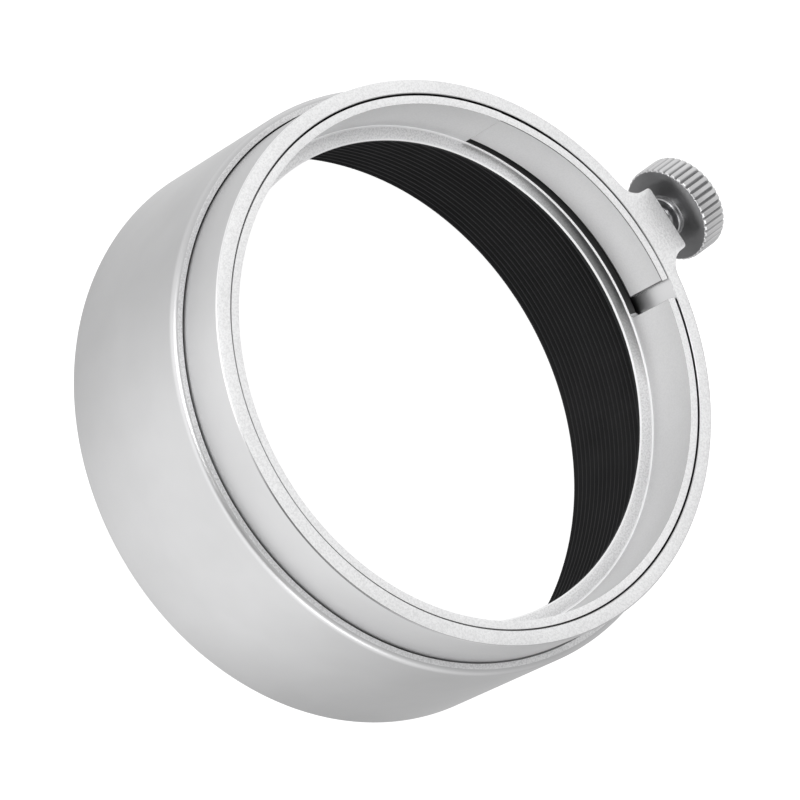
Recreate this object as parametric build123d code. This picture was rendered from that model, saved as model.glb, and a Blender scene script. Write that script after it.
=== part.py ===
from build123d import *
import os
from math import cos, pi, radians, sin

# A clamp-on lens hood for a 36 mm lens barrel. A silver barrel carries a black ribbed liner. A neck, the mounting
# ring, stands on the barrel's rear edge and holds a split sleeve that slips over the lens. An L-shaped cut frees
# a tongue of the sleeve, and a thumbscrew in the ring's lug presses the tongue against the lens.
#
# The frame is in millimetres. The optical axis is Z and points to the lens. The origin is the centre of the lens
# seat, the flange inside the clamp. The thumbscrew lies along +X.

# The lens and the clamp around it.
LENS_DIAMETER = 36.0
SLIP_CLEARANCE = 0.05
BORE_R = LENS_DIAMETER / 2 + SLIP_CLEARANCE
SLEEVE_WALL = 0.57
SLEEVE_R = BORE_R + SLEEVE_WALL
CLAMP_DEPTH = 4.45
SEAT_INNER_R = 17.0
SEAT_EDGE = 0.12
FLANGE_THICKNESS = 0.6

# The mounting ring, which is the neck behind the barrel, and its lug. Its bore is a little off the axis, so the
# gap behind the sleeve is wide at the tongue and almost closed on the far side.
GAP_MEAN = 0.13
BORE_OFFSET = 0.1
RING_INNER_R = SLEEVE_R + GAP_MEAN
GAP_WIDEST_X = RING_INNER_R + BORE_OFFSET
RING_OUTER_R = 19.79
RING_CHAMFER = 0.12
LUG_FACE_X = 21.57
LUG_HALF_WIDTH = 2.42
LUG_THICKNESS = 3.1
LUG_FILLET = 1.6
LUG_CORNER = 0.3

# The barrel and its liner.
BARREL_R = 20.65
BARREL_WALL = 0.3
BARREL_REAR_Z = 0.37
BARREL_FRONT_Z = -12.75
LIP_RADIUS = 0.48
LIP_GROOVE = 0.1
RIM_CHAMFER = 0.08
LINER_CREST_R = 19.98
LINER_RECESS = 0.06
LINER_FLANGE = 0.4
LINER_EDGE = 0.2
RIB_PITCH = 0.5
RIB_DEPTH = 0.17
RIB_CREST = 0.12

# The L-shaped cut that frees the tongue. Angles are about Z from the thumbscrew, in degrees.
TONGUE_ROOT = 41.6
TONGUE_TIP = -10.97
END_CUT_WIDTH = 1.24
END_CUT_CORNER = 0.4
SLIT_LOW_Z = 0.06
SLIT_HIGH_Z = 0.6
SEAM = 0.03
TONGUE_SPRING = 0.64

# The thumbscrew and the pad at its tip.
SCREW_Z = CLAMP_DEPTH - LUG_THICKNESS / 2
THREAD_R = 1.0
THREAD_PITCH = 0.4
THREAD_DEPTH = 0.2
THREAD_CREST = 0.1
THREAD_FIT = 0.03
KNOB_X = 22.75
KNOB_R = 3.5
KNOB_THICKNESS = 2.15
KNOB_CHAMFER = 0.15
BOSS_R = 1.45
BOSS_HEIGHT = 0.35
KNURL_COUNT = 42
KNURL_DEPTH = 0.2
KNURL_CREST = 0.55
STUD_TIP_X = 19.75
STUD_TAIL_X = 24.25
STUD_TAIL_R = 0.75
PAD_FACE_X = 18.79
PAD_R = 0.82
PAD_DOME = 0.12
PAD_STEM_R = 0.36
PAD_STEM_LENGTH = 0.8
PAD_PLAY = 0.03

FIT = 0.01
EDGE_BREAK = 0.06
OVERRUN = 1.0


def turned(points):
    """A solid of revolution about Z from an outline of (radius, z) points."""
    outline = Polyline(*[(r, 0, z) for r, z in points], close=True)
    return revolve(make_face(outline), Axis.Z)


def sector(r_low, r_high, z_low, z_high, start, end):
    """A block of an annulus between two angles in degrees."""
    corners = [(r_low, 0, z_low), (r_high, 0, z_low), (r_high, 0, z_high), (r_low, 0, z_high)]
    face = make_face(Polyline(*corners, close=True))
    return Rot(0, 0, start) * revolve(face, Axis.Z, end - start)


def along_screw(shape):
    """Lays a shape that was made about Z along the thumbscrew's axis."""
    return Pos(0, 0, SCREW_Z) * Rot(0, 90, 0) * shape


def circles(shape, radius, z):
    """The shape's round edges of one radius at one height."""
    round_edges = shape.edges().filter_by(GeomType.CIRCLE)
    return [e for e in round_edges if abs(e.radius - radius) < FIT and abs(e.arc_center.Z - z) < FIT]


def hood_barrel():
    """The outer tube, with a thick collar at the rear that holds the mounting ring."""
    bore = BARREL_R - BARREL_WALL
    collar = RING_OUTER_R + FIT
    body = turned(
        [
            (BARREL_R, BARREL_FRONT_Z + RIM_CHAMFER),
            (BARREL_R, BARREL_REAR_Z),
            (collar + LIP_GROOVE, BARREL_REAR_Z),
            (collar, BARREL_REAR_Z - LIP_GROOVE),
            (collar, -FLANGE_THICKNESS),
            (bore, -FLANGE_THICKNESS),
            (bore, BARREL_FRONT_Z),
            (BARREL_R - RIM_CHAMFER, BARREL_FRONT_Z),
        ]
    )
    return fillet(circles(body, BARREL_R, BARREL_REAR_Z), LIP_RADIUS)


def liner_ribs(front_z, rear_z):
    """The liner's ribbed bore as (radius, z) points, from the front to the rear."""
    count = int((rear_z - front_z) / RIB_PITCH)
    first = rear_z - count * RIB_PITCH
    points = []
    for i in range(count):
        z = first + i * RIB_PITCH
        points.append((LINER_CREST_R, z))
        points.append((LINER_CREST_R, z + RIB_CREST))
        points.append((LINER_CREST_R + RIB_DEPTH, z + (RIB_PITCH + RIB_CREST) / 2))
    points.append((LINER_CREST_R, rear_z))
    return points


def baffle_liner():
    """The black tube inside the barrel, with a flange that tapers to the edge of the seat."""
    outer = BARREL_R - BARREL_WALL - FIT
    top = -FLANGE_THICKNESS - FIT
    flange_low = top - LINER_FLANGE
    front = BARREL_FRONT_Z + LINER_RECESS
    lip_rise = FLANGE_THICKNESS - SEAT_EDGE - FIT
    outline = [
        (SEAT_INNER_R, top + lip_rise - LINER_EDGE),
        (SEAT_INNER_R, top + lip_rise),
        (SEAT_INNER_R + lip_rise, top),
        (outer, top),
        (outer, front),
        (LINER_CREST_R + RIB_DEPTH, front),
    ]
    return turned(outline + liner_ribs(front + RIB_PITCH / 2, flange_low))


def lug_outline():
    """The mounting ring's outline with the lug that carries the thumbscrew."""
    tab = Pos(LUG_FACE_X / 2, 0) * Rectangle(LUG_FACE_X, 2 * LUG_HALF_WIDTH)
    outline = Circle(RING_OUTER_R) + tab
    roots = outline.vertices().filter_by(
        lambda v: abs(abs(v.Y) - LUG_HALF_WIDTH) < FIT and v.X < LUG_FACE_X - FIT
    )
    outline = fillet(roots, LUG_FILLET)
    corners = outline.vertices().filter_by(lambda v: abs(v.X - LUG_FACE_X) < FIT)
    return fillet(corners, LUG_CORNER)


def mounting_ring():
    """The neck: a tube with a lug, bored and tapped for the thumbscrew."""
    low = -FLANGE_THICKNESS
    tube = Pos(0, 0, low) * extrude(Circle(RING_OUTER_R), CLAMP_DEPTH - low)
    lug = Pos(0, 0, CLAMP_DEPTH - LUG_THICKNESS) * extrude(lug_outline(), LUG_THICKNESS)
    bore_depth = CLAMP_DEPTH - low + 2 * OVERRUN
    bore = Pos(BORE_OFFSET, 0, low - OVERRUN) * extrude(Circle(RING_INNER_R), bore_depth)
    ring = tube + lug
    rear_edges = ring.faces().sort_by(Axis.Z)[-1].edges()
    ring = chamfer(rear_edges, RING_CHAMFER) - bore
    ring = chamfer(circles(ring, RING_INNER_R, CLAMP_DEPTH), EDGE_BREAK)
    hole_depth = LUG_FACE_X - GAP_WIDEST_X + 2 * OVERRUN
    hole = Pos(0, 0, GAP_WIDEST_X - OVERRUN) * extrude(Circle(THREAD_R + THREAD_FIT), hole_depth)
    return ring - along_screw(hole)


def end_cut():
    """The slot across the sleeve at the tongue's tip, with rounded lower corners."""
    angle = TONGUE_TIP - (END_CUT_WIDTH / 2) / radians(1) / BORE_R
    height = CLAMP_DEPTH + OVERRUN - SLIT_LOW_Z
    block = Box(SLEEVE_WALL + OVERRUN, END_CUT_WIDTH, height)
    lower = block.edges().filter_by(Axis.X).group_by(Axis.Z)[0].sort_by(Axis.Y)[0]
    block = fillet(lower, END_CUT_CORNER)
    return Rot(0, 0, angle) * Pos(SLEEVE_R - SLEEVE_WALL / 2, 0, SLIT_LOW_Z + height / 2) * block


def end_cut_angle():
    """How many degrees the cut at the tip takes out of the sleeve."""
    return END_CUT_WIDTH / BORE_R / radians(1)


def sleeve_blank():
    """The turned sleeve before its cuts: a thin wall on a foot, and the seat flange inside."""
    low = -FLANGE_THICKNESS
    blank = turned(
        [
            (SEAT_INNER_R, -SEAT_EDGE),
            (SEAT_INNER_R, 0),
            (BORE_R, 0),
            (BORE_R, CLAMP_DEPTH),
            (SLEEVE_R, CLAMP_DEPTH),
            (SLEEVE_R, low),
            (SEAT_INNER_R + FLANGE_THICKNESS - SEAT_EDGE, low),
        ]
    )
    rims = circles(blank, BORE_R, CLAMP_DEPTH) + circles(blank, SLEEVE_R, CLAMP_DEPTH)
    blank = chamfer(rims, EDGE_BREAK)
    disc = Pos(BORE_OFFSET, 0, low) * extrude(Circle(RING_INNER_R - FIT), FLANGE_THICKNESS)
    middle = Pos(0, 0, low - OVERRUN) * extrude(Circle(BORE_R), FLANGE_THICKNESS + 2 * OVERRUN)
    return blank + (disc - middle)


def tongue_window(margin):
    """The space that the tongue is cut from, above the slit. The margin widens it at the root."""
    start = TONGUE_TIP - end_cut_angle() / 2
    root = TONGUE_ROOT + margin / SLEEVE_R / radians(1)
    return sector(SEAT_INNER_R, RING_OUTER_R, SLIT_HIGH_Z, CLAMP_DEPTH + OVERRUN, start, root)


def clamp_sleeve():
    """The fixed part of the split sleeve, with the lens seat."""
    start = TONGUE_TIP - end_cut_angle() / 2
    slit = sector(SEAT_INNER_R + OVERRUN / 2, SLEEVE_R + FIT, SLIT_LOW_Z, SLIT_HIGH_Z, start, TONGUE_ROOT)
    return sleeve_blank() - slit - tongue_window(SEAM) - end_cut()


def clamp_tongue():
    """The springy tongue, sprung out a little from the sleeve's circle about its root."""
    tongue = (sleeve_blank() & tongue_window(0)) - end_cut()
    root_x = BORE_R * cos(radians(TONGUE_ROOT))
    root_y = BORE_R * sin(radians(TONGUE_ROOT))
    about_root = Pos(root_x, root_y, 0) * Rot(0, 0, TONGUE_SPRING) * Pos(-root_x, -root_y, 0)
    return about_root * tongue


def knurl_outline():
    """The knob's outline: flat crests with narrow grooves between them."""
    step = 2 * pi / KNURL_COUNT
    points = []
    for i in range(KNURL_COUNT):
        middle = i * step
        half_crest = step * KNURL_CREST / 2
        points.append((KNOB_R * cos(middle - half_crest), KNOB_R * sin(middle - half_crest)))
        points.append((KNOB_R * cos(middle + half_crest), KNOB_R * sin(middle + half_crest)))
        root = KNOB_R - KNURL_DEPTH
        points.append((root * cos(middle + step / 2), root * sin(middle + step / 2)))
    return make_face(Polyline(*points, close=True))


def thumbscrew_knob():
    """The knurled head, with a boss towards the lug."""
    blank = turned(
        [
            (0, 0),
            (KNOB_R - KNOB_CHAMFER, 0),
            (KNOB_R, KNOB_CHAMFER),
            (KNOB_R, KNOB_THICKNESS - KNOB_CHAMFER),
            (KNOB_R - KNOB_CHAMFER, KNOB_THICKNESS),
            (0, KNOB_THICKNESS),
        ]
    )
    head = blank & extrude(knurl_outline(), KNOB_THICKNESS)
    boss = Pos(0, 0, -BOSS_HEIGHT) * extrude(Circle(BOSS_R), BOSS_HEIGHT)
    socket_depth = BOSS_HEIGHT + STUD_TAIL_X - KNOB_X + FIT
    socket = Pos(0, 0, -BOSS_HEIGHT) * extrude(Circle(STUD_TAIL_R + FIT), socket_depth)
    return along_screw(Pos(0, 0, KNOB_X) * (head + boss - socket))


def thumbscrew_stud():
    """The threaded stud, pressed into the knob, with a socket for the pad's stem in its tip."""
    neck_x = KNOB_X - BOSS_HEIGHT - FIT
    count = int((neck_x - STUD_TIP_X) / THREAD_PITCH)
    points = [(0, STUD_TIP_X), (THREAD_R - THREAD_DEPTH, STUD_TIP_X)]
    for i in range(count):
        x = STUD_TIP_X + i * THREAD_PITCH
        points.append((THREAD_R, x + THREAD_PITCH * (1 - THREAD_CREST) / 2))
        points.append((THREAD_R, x + THREAD_PITCH * (1 + THREAD_CREST) / 2))
        points.append((THREAD_R - THREAD_DEPTH, x + THREAD_PITCH))
    points += [(THREAD_R - THREAD_DEPTH, neck_x), (STUD_TAIL_R, neck_x)]
    points += [(STUD_TAIL_R, STUD_TAIL_X), (0, STUD_TAIL_X)]
    depth = PAD_STEM_LENGTH + PAD_PLAY
    socket = Pos(0, 0, STUD_TIP_X - OVERRUN) * extrude(Circle(PAD_STEM_R + PAD_PLAY), depth + OVERRUN)
    return along_screw(turned(points) - socket)


def pressure_pad():
    """The small pad that swivels in the stud's tip and meets the tongue with a shallow dome."""
    back_x = STUD_TIP_X - PAD_PLAY
    outline = [
        (0, PAD_FACE_X),
        (PAD_R / 2, PAD_FACE_X + PAD_DOME / 4),
        (PAD_R, PAD_FACE_X + PAD_DOME),
        (PAD_R, back_x),
        (PAD_STEM_R, back_x),
        (PAD_STEM_R, back_x + PAD_STEM_LENGTH),
        (0, back_x + PAD_STEM_LENGTH),
    ]
    return along_screw(turned(outline))


PARTS = {
    "hood_barrel": hood_barrel,
    "baffle_liner": baffle_liner,
    "mounting_ring": mounting_ring,
    "clamp_sleeve": clamp_sleeve,
    "clamp_tongue": clamp_tongue,
    "thumbscrew_knob": thumbscrew_knob,
    "thumbscrew_stud": thumbscrew_stud,
    "pressure_pad": pressure_pad,
}

os.makedirs("parts", exist_ok=True)
for name, make in PARTS.items():
    export_step(make(), f"parts/{name}.step")
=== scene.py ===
from itertools import product
from math import atan2, cos, degrees, radians, sin, sqrt, tau

import bmesh
import bpy
from mathutils import Matrix, Vector


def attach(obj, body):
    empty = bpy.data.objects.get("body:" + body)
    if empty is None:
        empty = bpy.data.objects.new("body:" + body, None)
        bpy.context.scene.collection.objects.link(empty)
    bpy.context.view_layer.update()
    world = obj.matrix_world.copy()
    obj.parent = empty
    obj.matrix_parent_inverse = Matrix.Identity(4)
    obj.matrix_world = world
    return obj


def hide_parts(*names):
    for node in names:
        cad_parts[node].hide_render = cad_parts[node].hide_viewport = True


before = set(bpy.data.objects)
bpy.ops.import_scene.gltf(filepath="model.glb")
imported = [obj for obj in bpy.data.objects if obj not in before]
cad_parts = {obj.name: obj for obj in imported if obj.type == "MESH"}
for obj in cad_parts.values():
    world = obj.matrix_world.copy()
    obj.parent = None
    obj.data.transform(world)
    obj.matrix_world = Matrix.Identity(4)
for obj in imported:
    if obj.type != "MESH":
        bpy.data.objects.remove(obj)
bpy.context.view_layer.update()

MM = 0.001

# Sizes in millimetres, the same as the CAD model's. Z is the optical axis and X runs through the thumbscrew.
BORE_R = 18.05
SLEEVE_R = 18.62
RING_IN = 18.75
RING_SHIFT = 0.1
RING_OUT = 19.79
SEAT_R = 17.0
TOP = 4.45
BASE = -0.6
BARREL_R = 20.65
BARREL_IN = 20.35
FRONT = -12.75
LIP_Z = 0.37
LIP_R = 0.48
ROOT = 41.6
TIP = -10.97
CUT_END = -14.9
CUT_CORNER = 0.4
SLIT_LOW = 0.06
SLIT_HIGH = 0.6
SPRING = 0.64
SCREW_Z = 2.9
KNOB_X = 22.75
KNOB_R = 3.5
KNOB_T = 2.15
BOSS_H = 0.35
LUG_X = 21.57
LUG_HALF = 2.42
LUG_LOW = 1.35
LUG_CORNER = 0.3
LUG_FOOT = 1.6
CREST_R = 19.98
RIB_PITCH = 0.5
STUD_TIP = 19.75
STUD_R = 1.0
PITCH = 0.4
PAD_FACE = 18.79
PAD_R = 0.82

# Facets around the two widest turned pieces.
FINE_STEPS = 540


# ---------------------------------------------------------------- mesh helpers


def add_mesh(name, points, faces, sharp=35.0):
    """A mesh object from points in millimetres, smooth shaded with sharp creases."""
    mesh = bpy.data.meshes.new(name)
    mesh.from_pydata([(x * MM, y * MM, z * MM) for x, y, z in points], [], faces)
    obj = bpy.data.objects.new(name, mesh)
    bpy.context.scene.collection.objects.link(obj)
    bm = bmesh.new()
    bm.from_mesh(mesh)
    bmesh.ops.remove_doubles(bm, verts=bm.verts, dist=1e-7)
    bmesh.ops.dissolve_degenerate(bm, edges=bm.edges, dist=1e-8)
    bmesh.ops.recalc_face_normals(bm, faces=bm.faces)
    bm.to_mesh(mesh)
    bm.free()
    smooth(obj, sharp)
    return obj


def smooth(obj, sharp=35.0):
    """Smooth shading that keeps edges sharper than the angle as creases."""
    for polygon in obj.data.polygons:
        polygon.use_smooth = True
    obj.data.set_sharp_from_angle(angle=radians(sharp))


def lathe(name, outline, steps, place=None, sharp=35.0):
    """Turns a closed outline of (radius, height) points about Z."""
    place = place or (lambda x, y, z: (x, y, z))
    points = []
    for i in range(steps):
        a = tau * i / steps
        points += [place(r * cos(a), r * sin(a), z) for r, z in outline]
    n = len(outline)
    faces = []
    for i in range(steps):
        j = (i + 1) % steps
        for k in range(n):
            m = (k + 1) % n
            faces.append((i * n + k, j * n + k, j * n + m, i * n + m))
    return add_mesh(name, points, faces, sharp)


def screw_place(x, y, z):
    """Lays a shape made about Z along the thumbscrew's axis, with its height measured from the lens axis."""
    return (z, y, SCREW_Z - x)


def arc(cx, cz, r, start, end, n):
    """Points of an arc in an outline."""
    turns = [radians(start + (end - start) * i / n) for i in range(n + 1)]
    return [(cx + r * cos(t), cz + r * sin(t)) for t in turns]


def polar_solid(name, radii, heights, angles, filled):
    """A solid on a polar grid: filled(i, j, k) says if the cell at radius i, height j, angle k is solid."""
    points = []
    index = {}
    faces = []
    ni, nj, nk = len(radii) - 1, len(heights) - 1, len(angles) - 1
    closed = abs(angles[-1] - angles[0] - 360) < 1e-6

    def point(i, j, k):
        if (i, j, k) not in index:
            a = radians(angles[k])
            index[i, j, k] = len(points)
            points.append((radii[i] * cos(a), radii[i] * sin(a), heights[j]))
        return index[i, j, k]

    def cell(i, j, k):
        if closed:
            k %= nk
        return 0 <= i < ni and 0 <= j < nj and 0 <= k < nk and filled(i, j, k)

    def wall(beyond, *corners):
        if not cell(*beyond):
            faces.append([point(*corner) for corner in corners])

    for i, j, k in product(range(ni), range(nj), range(nk)):
        if not cell(i, j, k):
            continue
        a, b, c = i + 1, j + 1, k + 1
        wall((i - 1, j, k), (i, j, k), (i, j, c), (i, b, c), (i, b, k))
        wall((a, j, k), (a, j, k), (a, b, k), (a, b, c), (a, j, c))
        wall((i, j - 1, k), (i, j, k), (a, j, k), (a, j, c), (i, j, c))
        wall((i, b, k), (i, b, k), (i, b, c), (a, b, c), (a, b, k))
        wall((i, j, k - 1), (i, j, k), (i, b, k), (a, b, k), (a, j, k))
        wall((i, j, c), (i, j, c), (a, j, c), (a, b, c), (i, b, c))
    return add_mesh(name, points, faces)


def soften(obj, width, keep, material):
    """Rounds a mesh's hard edges, except those that keep says to leave. The rounds take a material slot."""
    hard_angle = radians(40.0)
    bm = bmesh.new()
    bm.from_mesh(obj.data)
    hard = [
        e
        for e in bm.edges
        if len(e.link_faces) == 2
        and e.calc_face_angle(0) > hard_angle
        and not all(keep(v.co / MM) for v in e.verts)
    ]
    bmesh.ops.bevel(
        bm,
        geom=hard,
        offset=width * MM,
        segments=2,
        profile=0.6,
        affect="EDGES",
        clamp_overlap=True,
        material=material,
    )
    bm.to_mesh(obj.data)
    bm.free()
    smooth(obj)


def carve(obj, cutter):
    """Cuts one mesh out of another and keeps the result as a plain mesh."""
    tool = obj.modifiers.new("cut", "BOOLEAN")
    tool.object = cutter
    tool.operation = "DIFFERENCE"
    tool.solver = "EXACT"
    bpy.context.view_layer.update()
    result = bpy.data.meshes.new_from_object(obj.evaluated_get(bpy.context.evaluated_depsgraph_get()))
    obj.modifiers.clear()
    old = obj.data
    obj.data = result
    obj.data.name = obj.name
    bpy.data.meshes.remove(old)
    bpy.data.objects.remove(cutter)
    smooth(obj)


def angle_of(p):
    """A point's angle about the lens axis, in degrees from the thumbscrew."""
    return degrees(atan2(p.y, p.x))


# ---------------------------------------------------------------- the pieces


def barrel():
    """The outer tube, with a rounded rear lip and a fine line where the neck comes out of it."""
    collar = RING_OUT + 0.01
    outline = [
        (BARREL_IN, FRONT + 0.05),
        (BARREL_IN + 0.05, FRONT),
        (BARREL_R - 0.08, FRONT),
        (BARREL_R - 0.02, FRONT + 0.03),
        (BARREL_R, FRONT + 0.1),
        (BARREL_R, -6.0),
    ]
    outline += arc(BARREL_R - LIP_R, LIP_Z - LIP_R, LIP_R, 0, 90, 14)
    outline += [(collar + 0.11, LIP_Z), (collar + 0.08, LIP_Z - 0.03), (collar, LIP_Z - 0.12)]
    outline += [(collar, BASE), (BARREL_IN, BASE)]
    return lathe("barrel_shell", outline, FINE_STEPS)


def liner():
    """The black tube inside the barrel: fine ribs, and a flange that tapers to the seat."""
    front = FRONT + 0.06
    low = BASE - 0.41
    outline = [(SEAT_R, BASE + 0.26), (SEAT_R, BASE + 0.46), (SEAT_R + 0.47, BASE - 0.01)]
    outline += [(BARREL_IN - 0.01, BASE - 0.01)]
    root = CREST_R + 0.17
    outline += [(BARREL_IN - 0.01, front), (root, front)]
    z = front + RIB_PITCH / 2
    while z < low - 0.3:
        outline += [(CREST_R, z), (CREST_R, z + 0.1), (root, z + 0.27)]
        z += RIB_PITCH
    outline += [(CREST_R, low)]
    return lathe("ribbed_liner", outline, FINE_STEPS, sharp=25.0)


def lug_radius(a):
    """The neck's outer radius at an angle in degrees, which rises smoothly into the lug."""
    t = abs(radians(a))
    flat = LUG_X / cos(t)
    y = flat * sin(t)
    if y < LUG_HALF - LUG_CORNER:
        return flat
    # A small round at the lug's corner, its flank, then a concave fillet down to the neck.
    best = RING_OUT
    cx, cy = LUG_X - LUG_CORNER, LUG_HALF - LUG_CORNER
    d = cx * cos(t) + cy * sin(t)
    h = (cx * sin(t) - cy * cos(t)) ** 2
    if h < LUG_CORNER**2:
        best = d + sqrt(LUG_CORNER**2 - h)
    fy = LUG_HALF + LUG_FOOT
    fx = sqrt((RING_OUT + LUG_FOOT) ** 2 - fy * fy)
    edge = LUG_HALF / sin(t) if sin(t) > 0 else flat
    if edge * cos(t) >= fx:
        return max(best, min(edge, flat)) if edge * cos(t) <= cx else max(best, RING_OUT)
    d = fx * cos(t) + fy * sin(t)
    h = (fx * sin(t) - fy * cos(t)) ** 2
    if h < LUG_FOOT**2 and d - sqrt(LUG_FOOT**2 - h) > RING_OUT - 1e-4:
        inner = d - sqrt(LUG_FOOT**2 - h)
        if inner * cos(t) <= fx + 1e-6 and t < fy / fx:
            return max(best, inner)
    return max(best, RING_OUT)


def bore_radius(a):
    """The neck's inner radius at an angle in degrees: its bore sits a little towards the thumbscrew."""
    t = radians(a)
    return RING_SHIFT * cos(t) + sqrt(RING_IN * RING_IN - (RING_SHIFT * sin(t)) ** 2)


def neck():
    """The ring behind the barrel, with the lug that carries the thumbscrew."""
    angles = [0.1 * i for i in range(-150, 151)] + [float(a) for a in range(16, 345)]
    shrink = 0.09
    hole_r = STUD_R + 0.06
    rows = []
    for a in angles:
        signed = a if a <= 180 else a - 360
        out = lug_radius(signed) if abs(signed) < 14 else RING_OUT
        bore = bore_radius(a)
        rows.append(
            (
                a,
                [
                    (bore, BASE),
                    (RING_OUT, BASE),
                    (RING_OUT, LUG_LOW),
                    (max(out - 0.08, RING_OUT), LUG_LOW),
                    (out, LUG_LOW + (0.08 if out > RING_OUT else 0)),
                    (out, TOP - shrink),
                    (out - 0.03, TOP - shrink * 0.35),
                    (out - shrink * 0.9, TOP),
                    (bore + 0.05, TOP),
                    (bore, TOP - 0.05),
                ],
            )
        )
    points = []
    for a, row in rows:
        points += [(r * cos(radians(a)), r * sin(radians(a)), z) for r, z in row]
    n = len(rows[0][1])
    faces = []
    for i in range(len(rows)):
        j = (i + 1) % len(rows)
        faces += [(i * n + k, j * n + k, j * n + (k + 1) % n, i * n + (k + 1) % n) for k in range(n)]
    ring = add_mesh("neck_ring", points, faces)
    start, end = BORE_R - 0.15, LUG_X + 1
    hole = [(0, start), (hole_r, start), (hole_r, LUG_X - 0.18), (1.3, LUG_X + 0.06), (1.3, end), (0, end)]
    carve(ring, lathe("hole", hole, 64, screw_place))
    return ring


def sleeve():
    """The fixed part of the split sleeve with its seat flange."""
    cut_cells, rest_cells = 53, 303
    angles = [CUT_END, TIP]
    span = ROOT - TIP
    angles += [TIP + span * i / cut_cells for i in range(1, cut_cells + 1)]
    rest = 360 + CUT_END - ROOT
    angles += [ROOT + rest * i / rest_cells for i in range(1, rest_cells + 1)]
    radii = [SEAT_R, 17.92, BORE_R, SLEEVE_R]
    heights = [BASE, -0.12, -0.05, 0.0, SLIT_LOW, TOP]
    opening = cut_cells + 1

    # From the bottom: the foot, the flange, the groove round the seat, and the wall, open beside the tongue.
    def filled(i, j, k):
        if j == 0:
            return i >= 1
        if j == 1:
            return True
        if j == 2:
            return i != 1
        return i == 2 and (j == 3 or k >= opening)

    body = polar_solid("split_sleeve", radii, heights, angles, filled)
    # The seat's inner edge is opened into a chamfer.
    opened = 1.006
    for v in body.data.vertices:
        if v.co.xy.length < (SEAT_R + 0.02) * MM and v.co.z > -0.01 * MM:
            v.co.x, v.co.y = v.co.x * opened, v.co.y * opened
    bm = bmesh.new()
    bm.from_mesh(body.data)
    corner = [
        e
        for e in bm.edges
        if all(abs(angle_of(v.co) - CUT_END) < 0.01 and abs(v.co.z / MM - SLIT_LOW) < 0.01 for v in e.verts)
    ]
    bmesh.ops.bevel(
        bm,
        geom=corner,
        offset=CUT_CORNER * MM,
        segments=6,
        profile=0.5,
        affect="EDGES",
        clamp_overlap=False,
    )
    bm.to_mesh(body.data)
    bm.free()
    # The rounds take slot 3, the near-black edge colour: a painted dark reflection.
    soften(body, 0.07, keep=lambda p: abs(angle_of(p) - ROOT) < 0.02 and p.z > SLIT_LOW + 0.01, material=3)
    return body


def tongue():
    """The springy tongue, standing a little proud of the sleeve's circle at its tip."""
    cells = 60
    angles = [TIP + (ROOT - TIP) * i / cells for i in range(cells + 1)]
    piece = polar_solid("spring_tongue", [BORE_R, SLEEVE_R], [SLIT_HIGH, TOP], angles, lambda i, j, k: True)
    # The rounds take slot 3, the near-black edge colour: a painted dark reflection.
    soften(piece, 0.08, keep=lambda p: abs(angle_of(p) - ROOT) < 0.02, material=3)
    pivot = Vector((BORE_R * cos(radians(ROOT)), BORE_R * sin(radians(ROOT)), 0)) * MM
    for v in piece.data.vertices:
        bend = (ROOT - angle_of(v.co)) / (ROOT - TIP)
        turn = Matrix.Rotation(radians(SPRING) * min(1.0, 3 * max(bend, 0)), 3, "Z")
        v.co = turn @ (v.co - pivot) + pivot
    return piece


def knob():
    """The knurled head: straight teeth with flat crests, a turned underside and a shallow dished top.

    The profile's third number says how deep the grooves are there."""
    teeth = 42
    per = 12
    steps = teeth * per

    def groove(i):
        u = (i % per) / per
        d = min(u, 1 - u) * 2
        return max(0.0, 1 - d / 0.5)

    top = KNOB_T
    profile = [(0.0, 0.0, 0.0), (1.5, 0.0, 0.0), (2.2, 0.012, 0.0), (2.3, 0.0, 0.0), (3.28, 0.0, 0.0)]
    profile += [(3.36, 0.012, 0.1), (3.43, 0.05, 0.6), (3.48, 0.11, 1.0), (KNOB_R, 0.18, 1.0)]
    profile += [(KNOB_R, top - 0.2, 1.0), (3.48, top - 0.12, 1.0), (3.43, top - 0.05, 0.6)]
    profile += [(3.34, top - 0.01, 0.1), (3.25, top, 0.0)]
    profile += [(2.5, top, 0.0), (2.4, top - 0.05, 0.0), (2.2, top - 0.1, 0.0)]
    profile += [(0.9, top - 0.13, 0.0), (0.0, top - 0.13, 0.0)]
    points = []
    for i in range(steps):
        a = tau * i / steps
        g = groove(i)
        for r, h, k in profile:
            q = r - 0.17 * g * k
            points.append(screw_place(q * cos(a), q * sin(a), KNOB_X + h))
    n = len(profile)
    faces = []
    for i in range(steps):
        j = (i + 1) % steps
        faces += [(i * n + k, j * n + k, j * n + k + 1, i * n + k + 1) for k in range(n - 1)]
    return add_mesh("knurled_knob", points, faces, 22.0)


def boss():
    """The collar between the knob and the stud."""
    outline = [(0, KNOB_X + 0.02), (1.55, KNOB_X + 0.02), (1.55, KNOB_X - 0.03), (1.46, KNOB_X - 0.08)]
    outline += [(1.45, KNOB_X - 0.27), (1.38, KNOB_X - BOSS_H), (0, KNOB_X - BOSS_H)]
    return lathe("knob_boss", outline, 96, screw_place)


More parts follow.
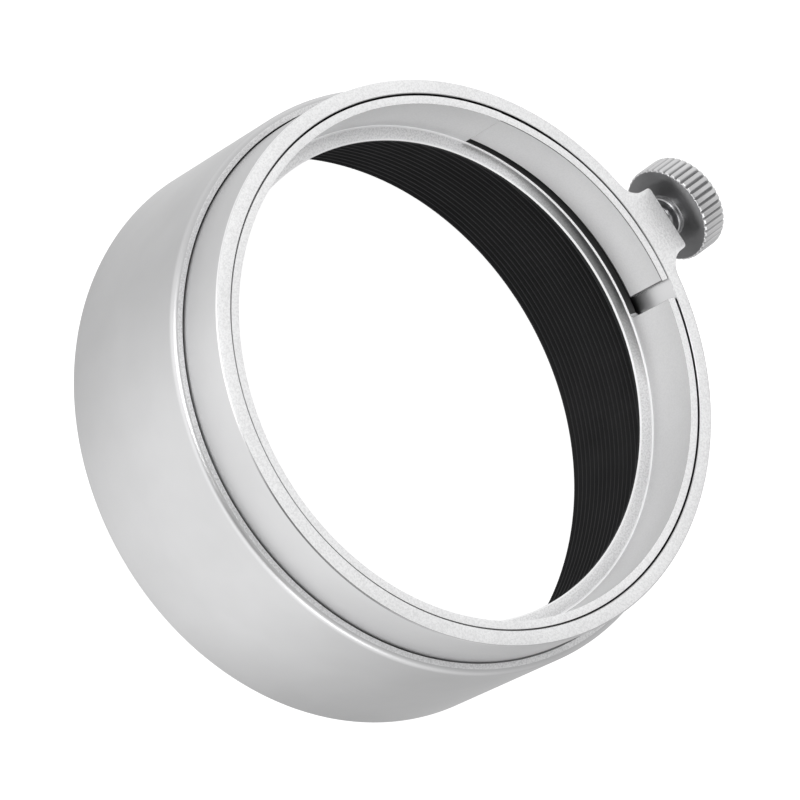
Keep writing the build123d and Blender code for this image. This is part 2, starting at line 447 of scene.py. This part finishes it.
def stud():
    """The threaded stud: a helix that runs out at the tip, with the pad's socket in it."""
    start, end = STUD_TIP, KNOB_X - BOSS_H + 0.02
    root, socket = 0.8, start + 0.8
    around, per = 48, 12
    rows = int((end - start) / PITCH * per)
    points = []
    for i in range(rows + 1):
        x = start + (end - start) * i / rows
        for j in range(around):
            a = tau * j / around
            u = ((x - start) / PITCH + a / tau) % 1.0
            crest = 1 - min(1.0, max(0.0, (abs(u - 0.5) - 0.07) / 0.36))
            lead = min(1.0, (x - start) / 0.3)
            r = root + (STUD_R - root) * crest * lead
            points.append(screw_place(r * cos(a), r * sin(a), x))
    faces = []
    for i in range(rows):
        for j in range(around):
            m = (j + 1) % around
            faces.append((i * around + j, i * around + m, (i + 1) * around + m, (i + 1) * around + j))
    top = len(points)
    for x, r in ((start, 0.4), (socket, 0.39)):
        for j in range(around):
            a = tau * j / around
            points.append(screw_place(r * cos(a), r * sin(a), x))
    points.append(screw_place(0, 0, socket))
    points.append(screw_place(0, 0, end))
    for j in range(around):
        m = (j + 1) % around
        faces.append((j, top + j, top + m, m))
        faces.append((top + j, top + around + j, top + around + m, top + m))
        faces.append((top + around + j, top + 2 * around, top + around + m))
        faces.append((rows * around + j, rows * around + m, top + 2 * around + 1))
    return add_mesh("threaded_stud", points, faces, 40.0)


def pad():
    """The swivelling pad in the stud's tip: a shallow dome, a groove round its rim and a stem."""
    outline = [(0, 0), (0.25, 0.01), (0.5, 0.05), (0.7, 0.09), (0.8, 0.14), (PAD_R, 0.21), (PAD_R, 0.51)]
    outline += [(0.76, 0.55), (0.76, 0.61), (PAD_R, 0.65), (PAD_R, 0.89), (0.78, 0.93)]
    outline += [(0.36, 0.93), (0.36, 1.71), (0.3, 1.73), (0, 1.73)]
    return lathe("swivel_pad", [(r, PAD_FACE + h) for r, h in outline], 64, screw_place)


# ---------------------------------------------------------------- materials


def multiply(tree, first, second):
    """A node that multiplies two colours, as its output."""
    mix = tree.nodes.new("ShaderNodeMix")
    mix.data_type = "RGBA"
    mix.blend_type = "MULTIPLY"
    mix.inputs["Factor"].default_value = 1.0
    tree.links.new(first, mix.inputs[6])
    tree.links.new(second, mix.inputs[7])
    return mix.outputs[2]


def metal(
    name, colour, rough, turned=0.0, grain=0.0, along="Z", metallic=1.0, speck=0.0, wear=0.06, fade=None
):
    """A satin metal with faint cutter lines around an axis, a blasted grain, and soft clouds of roughness.

    fade is an axis, where the darkening is full and where it ends, in millimetres, and how dark it gets. It
    paints shade deep in gaps and dark reflections on narrow edges, and darkens the sleeve's wall towards its
    top."""
    m = bpy.data.materials.new(name)
    m.use_nodes = True
    nodes, links = m.node_tree.nodes, m.node_tree.links
    shader = nodes["Principled BSDF"]
    shader.inputs["Metallic"].default_value = metallic
    shader.inputs["Specular IOR Level"].default_value = 0.5 if metallic else 0.22
    where = nodes.new("ShaderNodeTexCoord")

    def noise(scale, detail, stretch=(1, 1, 1)):
        lay = nodes.new("ShaderNodeMapping")
        lay.inputs["Scale"].default_value = stretch
        links.new(where.outputs["Object"], lay.inputs["Vector"])
        n = nodes.new("ShaderNodeTexNoise")
        n.inputs["Scale"].default_value = scale
        n.inputs["Detail"].default_value = detail
        n.inputs["Roughness"].default_value = 0.55
        links.new(lay.outputs["Vector"], n.inputs["Vector"])
        return n

    def ramp(source, low, high, start=0.3, end=0.7):
        r = nodes.new("ShaderNodeValToRGB")
        r.color_ramp.elements[0].position = start
        r.color_ramp.elements[1].position = end
        r.color_ramp.elements[0].color = (*low, 1)
        r.color_ramp.elements[1].color = (*high, 1)
        links.new(source, r.inputs["Fac"])
        return r

    clouds = noise(160, 3)
    spots = noise(7500, 2)
    tone = ramp(clouds.outputs["Fac"], [c * (1 - wear) for c in colour], colour)
    dots = ramp(spots.outputs["Fac"], [1 - speck] * 3, [1, 1, 1], 0.36, 0.6)
    result = multiply(m.node_tree, tone.outputs["Color"], dots.outputs["Color"])
    if fade:
        axis, full, clear, darkest = fade
        apart = nodes.new("ShaderNodeSeparateXYZ")
        links.new(where.outputs["Object"], apart.inputs["Vector"])
        depth = nodes.new("ShaderNodeMapRange")
        depth.inputs["From Min"].default_value = full * MM
        depth.inputs["From Max"].default_value = clear * MM
        links.new(apart.outputs[axis], depth.inputs["Value"])
        shade = ramp(depth.outputs["Result"], [darkest] * 3, [1, 1, 1], 0.0, 1.0)
        result = multiply(m.node_tree, result, shade.outputs["Color"])
    links.new(result, shader.inputs["Base Color"])
    rough_map = nodes.new("ShaderNodeMapRange")
    rough_map.inputs["To Min"].default_value = rough * 0.86
    rough_map.inputs["To Max"].default_value = rough * 1.14
    links.new(noise(420, 4).outputs["Fac"], rough_map.inputs["Value"])
    links.new(rough_map.outputs["Result"], shader.inputs["Roughness"])
    stretch = (0.02, 0.02, 1) if along == "Z" else (1, 0.02, 0.02)
    lines = noise(9000, 2, stretch)
    first = nodes.new("ShaderNodeBump")
    first.inputs["Strength"].default_value = turned
    first.inputs["Distance"].default_value = 0.00002
    links.new(lines.outputs["Fac"], first.inputs["Height"])
    second = nodes.new("ShaderNodeBump")
    second.inputs["Strength"].default_value = grain
    second.inputs["Distance"].default_value = 0.00004
    links.new(spots.outputs["Fac"], second.inputs["Height"])
    links.new(first.outputs["Normal"], second.inputs["Normal"])
    links.new(second.outputs["Normal"], shader.inputs["Normal"])
    return m


def grey(value):
    """A metal's grey, a touch cool."""
    return (value, value, value + 0.005)


def paint(obj, *materials):
    """Gives an object its material slots, in this order."""
    for m in materials:
        obj.data.materials.append(m)


silver = metal("satin_silver", grey(0.6), 0.36, turned=0.25, grain=0.06)
turned_face = metal("turned_face", grey(0.82), 0.4, grain=0.8, speck=0.2, metallic=0.6)
neck_silver = metal("neck_silver", grey(0.55), 0.42, turned=0.2, grain=0.15, metallic=0.8)
blasted = metal("blasted_silver", grey(0.96), 0.5, grain=1.0, speck=0.12, metallic=0.75)
spring = metal(
    "sleeve_silver",
    grey(0.72),
    0.5,
    turned=0.1,
    grain=0.15,
    speck=0.05,
    metallic=0.35,
    fade=("Z", 4.4, 0.9, 0.84),
)
# The seat's fade is painted shade: the seat goes dark on the thumbscrew's side, below the tongue and the
# slit.
seat = metal(
    "turned_seat",
    grey(0.92),
    0.34,
    grain=0.45,
    speck=0.2,
    metallic=0.5,
    fade=("X", 17.6, 15.2, 0.16),
)
black = metal("blackened", (0.01, 0.01, 0.011), 0.62, grain=0.25, metallic=0.0, wear=0.35)
plated = metal("plated_knob", grey(0.62), 0.32, grain=0.05, along="X")
# A darker grey for the knurl's grooves: painted shade in the recesses.
groove = metal("knurl_groove_painted_shade", grey(0.43), 0.36, along="X")
under = metal("turned_underside", grey(0.34), 0.34, turned=0.3, grain=0.1, along="X")
# Painted dark reflections along the neck's end chamfer: edge_line fades out towards -Y between y = -9 and
# -14.5 mm, edge_line_start is darkest below y = 0 and gone by y = 6 mm.
edge = metal("edge_line", grey(0.6), 0.3, fade=("Y", -9.0, -14.5, 0.32))
edge_start = metal("edge_line_start", grey(0.8), 0.3, metallic=0.6, fade=("Y", 0.0, 6.0, 0.24))
# Near-black for the sleeve's and tongue's rounded edges: a painted dark reflection.
dark_edge = metal("dark_edge", (0.1, 0.1, 0.102), 0.3)
# A painted highlight: the bright line on the seat's inner chamfer and along the foot of the sleeve's wall.
bright_edge = metal("painted_highlight_edge", grey(0.97), 0.35, metallic=0.2)
hidden = metal("shadowed_metal", (0.07, 0.07, 0.072), 0.5)
# Painted shade in the slit and the narrow gap round the sleeve, darkest on the thumbscrew's side (x above 4
# mm) and lighter by x = -8 mm.
gap_side = metal("gap_side", grey(0.6), 0.5, metallic=0.5, fade=("X", 4.0, -8.0, 0.11))
# Painted shade at the neck's root: dark all round, fading out towards -Y between y = -12.5 and -17.5 mm.
root_line = metal("root_line", grey(0.6), 0.5, fade=("Y", -12.5, -17.5, 0.11))
# Painted shade on the neck's bore inside the gap, darker towards its lower end (full below z = -1, gone by z
# = 2 mm).
gap_wall = metal("gap_wall", grey(0.58), 0.3, fade=("Z", -1.0, 2.0, 0.6))
steel = metal("stud_steel", (0.55, 0.55, 0.56), 0.3, turned=0.2, along="X")
brass = metal("pad_brass", (0.72, 0.58, 0.3), 0.35, turned=0.3, along="X")


def from_screw(p):
    """A point's distance from the thumbscrew's axis."""
    return sqrt(p.y**2 + (p.z - SCREW_Z) ** 2)


def on_rim(p, n):
    """If a face of the neck is on the chamfer around its end."""
    return n.z < 0.9 and p.z > TOP - 0.095 and p.xy.length > RING_IN + 0.4


def repaint(obj, index, test):
    """Gives the faces that pass the test another material slot. The test gets a face's centre, in
    millimetres, and its normal."""
    for f in obj.data.polygons:
        if test(f.center / MM, f.normal):
            f.material_index = index


tube = barrel()
paint(tube, silver, turned_face, root_line)
repaint(tube, 1, lambda p, n: n.z > 0.98 and p.z > LIP_Z - 0.1)
# The faces at the neck's root take the painted shade.
repaint(tube, 2, lambda p, n: p.z > BASE and p.xy.length < RING_OUT + 0.12)
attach(tube, "hood")
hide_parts("hood_barrel")

ribs = liner()
paint(ribs, black)
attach(ribs, "hood")
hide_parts("baffle_liner")

ring = neck()
paint(ring, neck_silver, blasted, edge, gap_wall, edge_start)
repaint(ring, 1, lambda p, n: n.z > 0.9 and p.z > TOP - 0.1)
# The rim's chamfer takes the painted dark reflection, in two parts along Y.
repaint(ring, 2, on_rim)
repaint(ring, 4, lambda p, n: on_rim(p, n) and p.y > -8)
# The neck's bore takes the painted gap shade.
repaint(ring, 3, lambda p, n: p.xy.length < RING_IN + RING_SHIFT + 0.02 and p.z < TOP - 0.04)
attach(ring, "hood")
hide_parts("mounting_ring")

collar = sleeve()
paint(collar, spring, seat, blasted, dark_edge, gap_side, bright_edge)
repaint(collar, 2, lambda p, n: p.z > TOP - 0.08 and p.xy.length > SLEEVE_R - 0.1)
repaint(collar, 1, lambda p, n: p.z < 0.03 and p.xy.length < BORE_R - 0.01 and n.z > 0.9)
repaint(collar, 2, lambda p, n: n.z > 0.9 and p.z > TOP - 0.02)
# The seat's inner chamfer and the foot of the wall take the painted highlight.
repaint(collar, 5, lambda p, n: p.z < 0.03 and p.xy.length < SEAT_R + 0.12 and n.z < 0.99)
repaint(collar, 5, lambda p, n: p.z < SLIT_LOW + 0.01 and BORE_R - 0.15 < p.xy.length < BORE_R + 0.08)
# The slit's floor and the sleeve's outer wall, inside the gap, take the painted shade.
repaint(collar, 4, lambda p, n: n.z > 0.9 and 0 < p.z < SLIT_LOW + 0.01 and p.xy.length > BORE_R + 0.08)
repaint(collar, 4, lambda p, n: p.xy.length > SLEEVE_R - 0.03 and p.z < TOP - 0.08)
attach(collar, "hood")
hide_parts("clamp_sleeve")

leaf = tongue()
paint(leaf, spring, hidden, blasted, dark_edge)
repaint(leaf, 2, lambda p, n: p.z > TOP - 0.09 and (n.z > 0.9 or n.dot(p) > 5))
repaint(leaf, 1, lambda p, n: n.z < -0.9)
repaint(leaf, 1, lambda p, n: p.xy.length > SLEEVE_R - 0.03 and n.dot(p) > 15 and p.z < TOP - 0.09)
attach(leaf, "tongue")
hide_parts("clamp_tongue")

head = knob()
paint(head, plated, under, groove)
# The faces down in the knurl's grooves take the painted shade.
repaint(head, 2, lambda p, n: KNOB_X + 0.1 < p.x < KNOB_X + KNOB_T - 0.1 and from_screw(p) < KNOB_R - 0.07)
repaint(head, 1, lambda p, n: n.x < -0.9 and p.x < KNOB_X + 0.1)
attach(head, "thumbscrew")
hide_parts("thumbscrew_knob")

hub = boss()
paint(hub, under)
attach(hub, "thumbscrew")

rod = stud()
paint(rod, steel)
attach(rod, "thumbscrew")
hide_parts("thumbscrew_stud")

tip = pad()
paint(tip, brass)
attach(tip, "pad")
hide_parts("pressure_pad")

# ---------------------------------------------------------------- floor, light and camera


def floor():
    """A plain white floor that glows a little, so that it reads as an even white sweep."""
    z = FRONT
    size = 900
    corners = [(-size, -size, z), (size, -size, z), (size, size, z), (-size, size, z)]
    obj = add_mesh("floor", corners, [(0, 1, 2, 3)])
    m = bpy.data.materials.new("white_floor")
    m.use_nodes = True
    shader = m.node_tree.nodes["Principled BSDF"]
    shader.inputs["Base Color"].default_value = (0.25, 0.25, 0.25, 1)
    shader.inputs["Roughness"].default_value = 0.9
    shader.inputs["Emission Color"].default_value = (1, 1, 1, 1)
    shader.inputs["Emission Strength"].default_value = 0.97
    paint(obj, m)
    obj.visible_glossy = False


def studio():
    """White surroundings: brightest near the horizon, dark about one high direction, as round a dark lens."""
    world = bpy.data.worlds.new("studio")
    bpy.context.scene.world = world
    world.use_nodes = True
    nodes, links = world.node_tree.nodes, world.node_tree.links
    toward = nodes.new("ShaderNodeTexCoord")

    def band(direction, stops):
        """Brightness along a direction: each stop is the cosine of the angle to it, and a grey."""
        dot = nodes.new("ShaderNodeVectorMath")
        dot.operation = "DOT_PRODUCT"
        dot.inputs[1].default_value = direction
        links.new(toward.outputs["Generated"], dot.inputs[0])
        spread = nodes.new("ShaderNodeMapRange")
        spread.inputs["From Min"].default_value = -1
        links.new(dot.outputs["Value"], spread.inputs["Value"])
        ramp = nodes.new("ShaderNodeValToRGB")
        while len(ramp.color_ramp.elements) < len(stops):
            ramp.color_ramp.elements.new(0.5)
        for element, (height, value) in zip(ramp.color_ramp.elements, stops):
            element.position = (height + 1) / 2
            element.color = (value, value, value, 1)
        links.new(spread.outputs["Result"], ramp.inputs["Fac"])
        return ramp.outputs["Color"]

    heights = [(-1, 0.55), (-0.75, 0.6), (-0.45, 0.65), (-0.2, 0.68)]
    heights += [(0.05, 0.74), (0.3, 0.66), (0.5, 0.6), (1, 0.57)]
    bands = [
        band((0, 0, 1), heights),
        band((-0.985, -0.174, 0), [(-1, 0.8), (-0.25, 0.62), (0, 0.68), (0.25, 0.82), (0.42, 1.0), (1, 1.0)]),
        band((0.5, -0.866, 0), [(-1, 1.0), (0.1, 1.0), (0.45, 0.78), (1, 0.78)]),
        band((-0.611, 0.065, 0.789), [(-1, 1.0), (0.82, 1.0), (0.93, 0.2), (1, 0.1)]),
    ]
    colour = bands[0]
    for other in bands[1:]:
        colour = multiply(world.node_tree, colour, other)
    links.new(colour, nodes["Background"].inputs["Color"])
    nodes["Background"].inputs["Strength"].default_value = 2.15


def lamp(name, place, aim, size, power):
    """A soft rectangular light, placed in millimetres."""
    data = bpy.data.lights.new(name, "AREA")
    data.shape = "RECTANGLE"
    data.size, data.size_y = size[0] * MM, size[1] * MM
    data.energy = power
    obj = bpy.data.objects.new(name, data)
    bpy.context.scene.collection.objects.link(obj)
    obj.location = Vector(place) * MM
    obj.rotation_euler = (Vector(aim) - Vector(place)).to_track_quat("-Z", "Y").to_euler()


def camera():
    """A long lens behind the hood and to one side, rolled so that the thumbscrew points up to the right."""
    data = bpy.data.cameras.new("camera")
    data.sensor_width = 36
    data.lens = 247.5
    data.clip_start = 0.01
    obj = bpy.data.objects.new("camera", data)
    bpy.context.scene.collection.objects.link(obj)
    back = Vector((-0.6109, 0.0650, 0.7890)).normalized()
    up = Vector((0.4635, 0.8373, 0.2899))
    right = up.cross(back).normalized()
    up = back.cross(right)
    turn = Matrix((right, up, back)).transposed().to_4x4()
    obj.matrix_world = Matrix.Translation(Vector((-228.35, 24.12, 290.5)) * MM) @ turn
    bpy.context.scene.camera = obj


floor()
lamp("key", (-260, 260, 420), (0, 0, 0), (260, 260), 0.95)
lamp("fill", (-300, -300, 160), (0, 0, 0), (240, 200), 0.25)
lamp("side", (320, -60, 260), (0, 0, 0), (200, 200), 0.04)
studio()
bpy.context.scene.view_settings.view_transform = "Standard"
camera()
